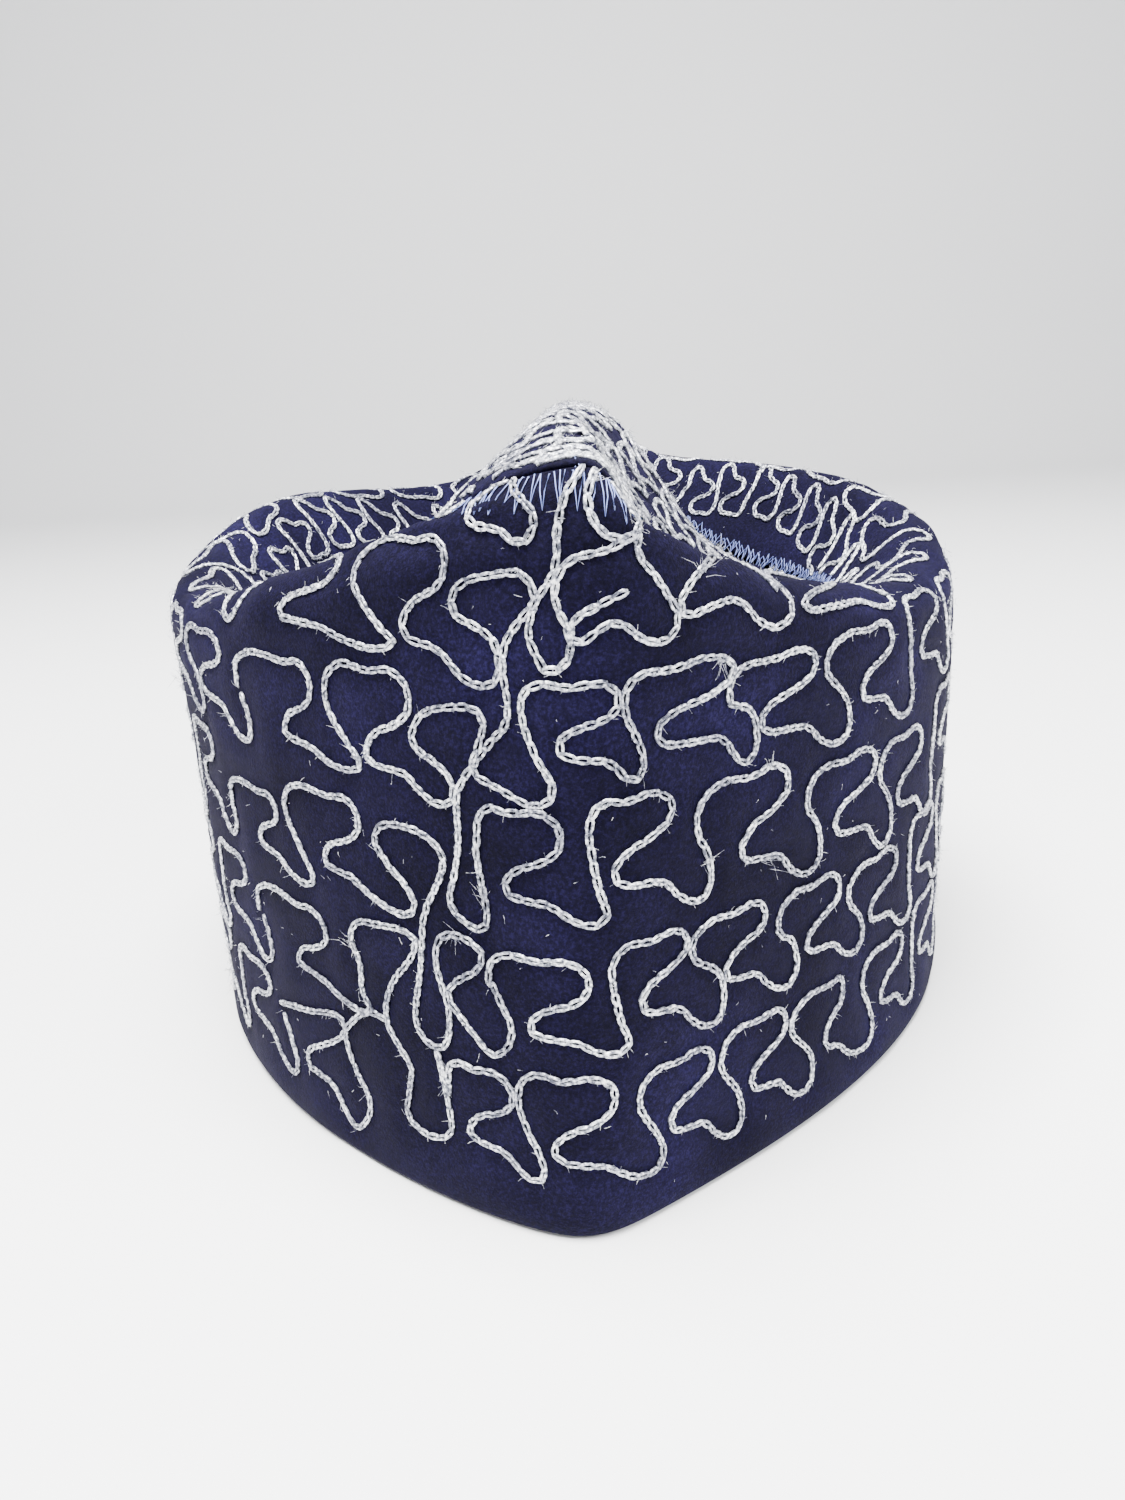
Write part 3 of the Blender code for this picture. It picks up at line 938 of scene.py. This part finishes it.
def zigzag_path(band, band_tree, crown_tree, places, phase, rng):
    """One pass of the zigzag: legs by turns up over the band to the crown, and down again."""
    share = np.arange(ZIGZAG_POINTS - 1) / (ZIGZAG_POINTS - 1)
    along = places[:-1, None] + np.diff(places)[:, None] * share
    rising = (np.arange(len(along)) + phase) % 2 == 0
    height = np.where(rising[:, None], share, 1 - share)
    short = ZIGZAG_REACH * rng.uniform(0.7, 1.15, len(places))
    seam = band.points(places, band.limits(places)[1])
    at_peak = np.clip((seam[:, 2] - PEAK_FROM) / (PEAK_FULL - PEAK_FROM), 0, 1)
    reach = short + (PEAK_REACH - ZIGZAG_REACH) * at_peak * rng.uniform(0.85, 1.1, len(places))
    reach = np.where(rising, reach[:-1], reach[1:])[:, None]
    along, height = along.ravel(), height.ravel()
    reach = np.repeat(reach, ZIGZAG_POINTS - 1)
    ends = band.limits(along)[1]
    up = ends - reach * np.maximum(1 - height / share[-1], 0.0)
    on_band = band.points(along, up)
    onward = unit(on_band - band.points(along, ends - ZIGZAG_REACH))
    on_crown = pressed(on_band + onward * ZIGZAG_REACH, crown_tree)
    path = np.where((height == 1)[:, None], on_crown, pressed(on_band, band_tree))
    return path + band.normals(along, up) * ZIGZAG_LIFT


def make_seam_zigzag(band, band_tree, crown_tree, length, material, rng):
    """The two passes of fine zigzag that join the band to the crown all the way round."""
    places = np.arange(0, length, ZIGZAG_PITCH)
    parts = []
    for phase in (0, 1):
        jitter = rng.normal(0, ZIGZAG_PITCH * 0.3, len(places))
        path = zigzag_path(band, band_tree, crown_tree, places + jitter, phase, rng)
        parts.append(tube_mesh(path, ZIGZAG_RADIUS, ZIGZAG_SIDES))
    verts, quads = join_arrays(parts)
    finish_piece(mesh_object("seam_zigzag", verts, quads), material)


def surface_tree(obj):
    """A tree over the surface of a cloth piece."""
    points = [v.co.copy() for v in obj.data.vertices]
    return BVHTree.FromPolygons(points, [tuple(p.vertices) for p in obj.data.polygons])


def make_floor():
    """A plain pale floor that curves up into a plain pale background."""
    depth = 1.6
    rise = 0.45
    bm = bmesh.new()
    rows = []
    profile = [(-2.0, 0.0), (depth - rise, 0.0)]
    for i in range(1, 13):
        a = math.pi / 2 * i / 12
        profile.append((depth - rise + rise * math.sin(a), rise - rise * math.cos(a)))
    profile.append((depth, 2.5))
    for y, z in profile:
        rows.append([bm.verts.new((x, y, z)) for x in (-3.0, 3.0)])
    for a, b in zip(rows, rows[1:]):
        bm.faces.new((a[0], a[1], b[1], b[0]))
    mesh = bpy.data.meshes.new("floor")
    bm.to_mesh(mesh)
    bm.free()
    mesh.shade_smooth()
    obj = bpy.data.objects.new("floor", mesh)
    bpy.context.scene.collection.objects.link(obj)
    material, tree, shader = principled("floor_pale")
    shader.inputs["Base Color"].default_value = (0.80, 0.80, 0.80, 1)
    shader.inputs["Roughness"].default_value = 0.9
    mesh.materials.append(material)


def add_light(name, place, aim, size, power):
    """A soft square light, aimed at a point."""
    data = bpy.data.lights.new(name, "AREA")
    data.shape = "SQUARE"
    data.size = size
    data.energy = power
    obj = bpy.data.objects.new(name, data)
    obj.location = place
    obj.rotation_mode = "QUATERNION"
    obj.rotation_quaternion = (Vector(aim) - Vector(place)).to_track_quat("-Z", "Y")
    bpy.context.scene.collection.objects.link(obj)


def make_lights():
    """Soft studio light from above and in front, and a plain grey world."""
    middle = (0, 0, 0.06)
    add_light("top_light", (-0.10, -0.20, 1.0), middle, 0.6, 76.0)
    add_light("left_light", (-0.9, -0.7, 0.6), middle, 0.5, 4.0)
    add_light("right_light", (0.9, -0.5, 0.7), middle, 0.5, 20.0)
    world = bpy.data.worlds.new("studio")
    world.use_nodes = True
    background = world.node_tree.nodes["Background"]
    background.inputs["Color"].default_value = (0.9, 0.92, 1.0, 1)
    background.inputs["Strength"].default_value = 0.65
    bpy.context.scene.world = world


def make_camera():
    """The camera at the photograph's place, pitch, turn and roll."""
    pitch = math.radians(18.0)
    turn = math.radians(-0.46)
    roll = math.radians(2.99)
    forward = Vector((math.sin(turn) * math.cos(pitch), math.cos(turn) * math.cos(pitch), -math.sin(pitch)))
    right = Vector((math.cos(turn), -math.sin(turn), 0))
    up = right.cross(forward)
    rolled_right = right * math.cos(roll) - up * math.sin(roll)
    rolled_up = right * math.sin(roll) + up * math.cos(roll)
    data = bpy.data.cameras.new("camera")
    data.lens = 27.6
    data.sensor_width = 36.0
    obj = bpy.data.objects.new("camera", data)
    place = Vector((0.0002, -0.2636, 0.1363))
    columns = Matrix((rolled_right, rolled_up, -forward)).transposed()
    obj.matrix_world = Matrix.Translation(place) @ columns.to_4x4()
    bpy.context.scene.collection.objects.link(obj)
    bpy.context.scene.camera = obj


def main():
    """Build the dressed cap and its plain studio."""
    rng = np.random.default_rng(SEED)
    band, hem_length = band_map()
    crown = crown_map()
    band_paths = [part for run in band_runs(hem_length, rng) for part in lay_path(band, run)]
    crown_paths = [part for run in crown_runs(crown, rng) for part in lay_path(crown, run)]

    places = np.arange(0, hem_length, MAP_STEP)
    seam = band.points(places, band.limits(places)[1])
    band_cloth = fine_cloth("band", band_paths, seam)
    crown_cloth = fine_cloth("crown", crown_paths, seam)
    finish_piece(band_cloth, velvet_material("band_velvet_pile"))
    finish_piece(crown_cloth, velvet_material("crown_velvet_pile"))
    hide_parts("band")
    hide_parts("crown")
    band_tree = surface_tree(band_cloth)
    crown_tree = surface_tree(crown_cloth)

    silver = silver_material()
    make_band_stitches(all_links(band_paths, band_tree, rng), silver, rng)
    make_crown_stitches(all_links(crown_paths, crown_tree, rng), silver, rng)
    make_fibres(band_paths + crown_paths, band, silver, rng)
    make_seam_zigzag(band, band_tree, crown_tree, hem_length, blue_thread_material(), rng)

    band.area()
    crown.area()
    make_floor()
    make_lights()
    make_camera()


main()
